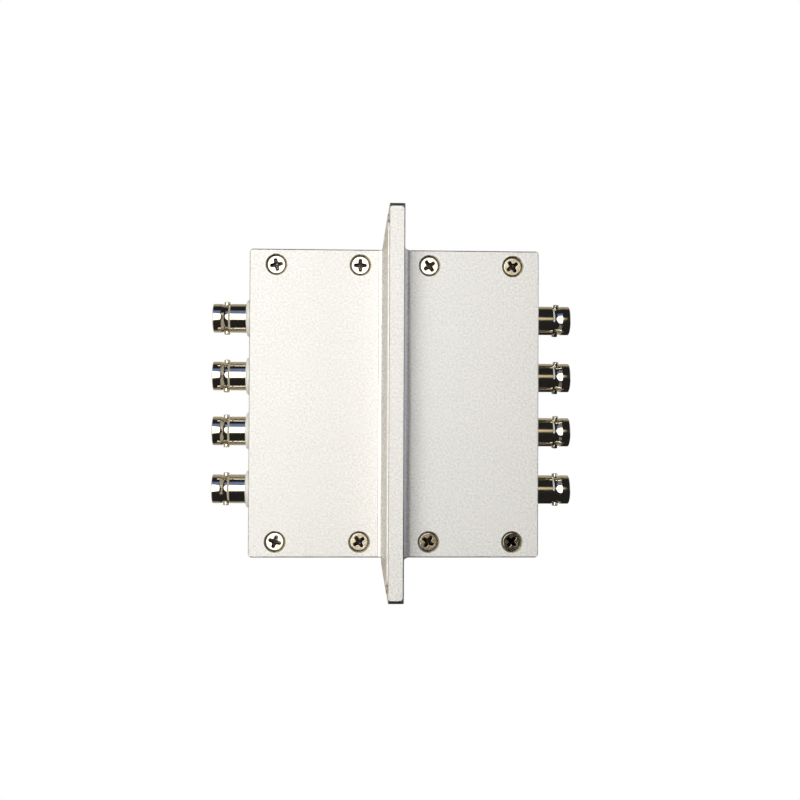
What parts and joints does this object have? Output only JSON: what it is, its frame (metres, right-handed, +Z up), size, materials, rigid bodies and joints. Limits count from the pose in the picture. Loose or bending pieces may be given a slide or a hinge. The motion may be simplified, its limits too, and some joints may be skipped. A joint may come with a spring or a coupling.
{
  "type": "bnc filter connector",
  "caption": "Panel-mounted coaxial filter connector: blasted aluminium boxes on both sides of a drilled flange, rows of bayonet sockets in white bushes, flat screwed covers.",
  "frame": {"origin": "centre of the flange, which is the centre of the whole part", "axes": "+X through the panel towards the right-hand box, -Y towards the covers, +Z up along the rows of sockets"},
  "size_m": [0.1204, 0.084, 0.1212],
  "materials": {
    "blasted_aluminium": "fine blasted",
    "screw_steel": "bright turned",
    "nickel_plate": "bright nickel plate",
    "white_plastic": "satin",
    "insulator_plastic": "matte",
    "gold_plate": "gold plate",
    "tinned_brass": "tinned",
    "tinned_wire": "tinned",
    "filter_metal": "silver plate",
    "potting_resin": "cast"
  },
  "bodies": {
    "root": {"flanged_housing": "blasted_aluminium", "left_cover": "blasted_aluminium", "right_cover": "blasted_aluminium", "left_cover_screws": "screw_steel", "right_cover_screws": "screw_steel", "left_shell_1": "nickel_plate", "left_shell_2": "nickel_plate", "left_shell_3": "nickel_plate", "left_shell_4": "nickel_plate", "left_bush_1": "white_plastic", "left_bush_2": "white_plastic", "left_bush_3": "white_plastic", "left_bush_4": "white_plastic", "left_insulator_1": "insulator_plastic", "left_insulator_2": "insulator_plastic", "left_insulator_3": "insulator_plastic", "left_insulator_4": "insulator_plastic", "left_contact_1": "gold_plate", "left_contact_2": "gold_plate", "left_contact_3": "gold_plate", "left_contact_4": "gold_plate", "left_socket_nuts": "nickel_plate", "left_inner_washers": "white_plastic", "left_solder_tags": "tinned_brass", "left_signal_wires": "tinned_wire", "left_shield_wires": "tinned_wire", "right_shell_1": "nickel_plate", "right_shell_2": "nickel_plate", "right_shell_3": "nickel_plate", "right_shell_4": "nickel_plate", "right_bush_1": "white_plastic", "right_bush_2": "white_plastic", "right_bush_3": "white_plastic", "right_bush_4": "white_plastic", "right_insulator_1": "insulator_plastic", "right_insulator_2": "insulator_plastic", "right_insulator_3": "insulator_plastic", "right_insulator_4": "insulator_plastic", "right_contact_1": "gold_plate", "right_contact_2": "gold_plate", "right_contact_3": "gold_plate", "right_contact_4": "gold_plate", "right_socket_nuts": "nickel_plate", "right_inner_washers": "white_plastic", "right_solder_tags": "tinned_brass", "right_signal_wires": "tinned_wire", "right_shield_wires": "tinned_wire", "signal_filter_case_1": "filter_metal", "signal_filter_case_2": "filter_metal", "signal_filter_case_3": "filter_metal", "signal_filter_case_4": "filter_metal", "signal_filter_cores": "potting_resin", "signal_filter_leads": "tinned_wire", "shield_filter_case_1": "filter_metal", "shield_filter_case_2": "filter_metal", "shield_filter_case_3": "filter_metal", "shield_filter_case_4": "filter_metal", "shield_filter_cores": "potting_resin", "shield_filter_leads": "tinned_wire"}
  },
  "joints": []
}
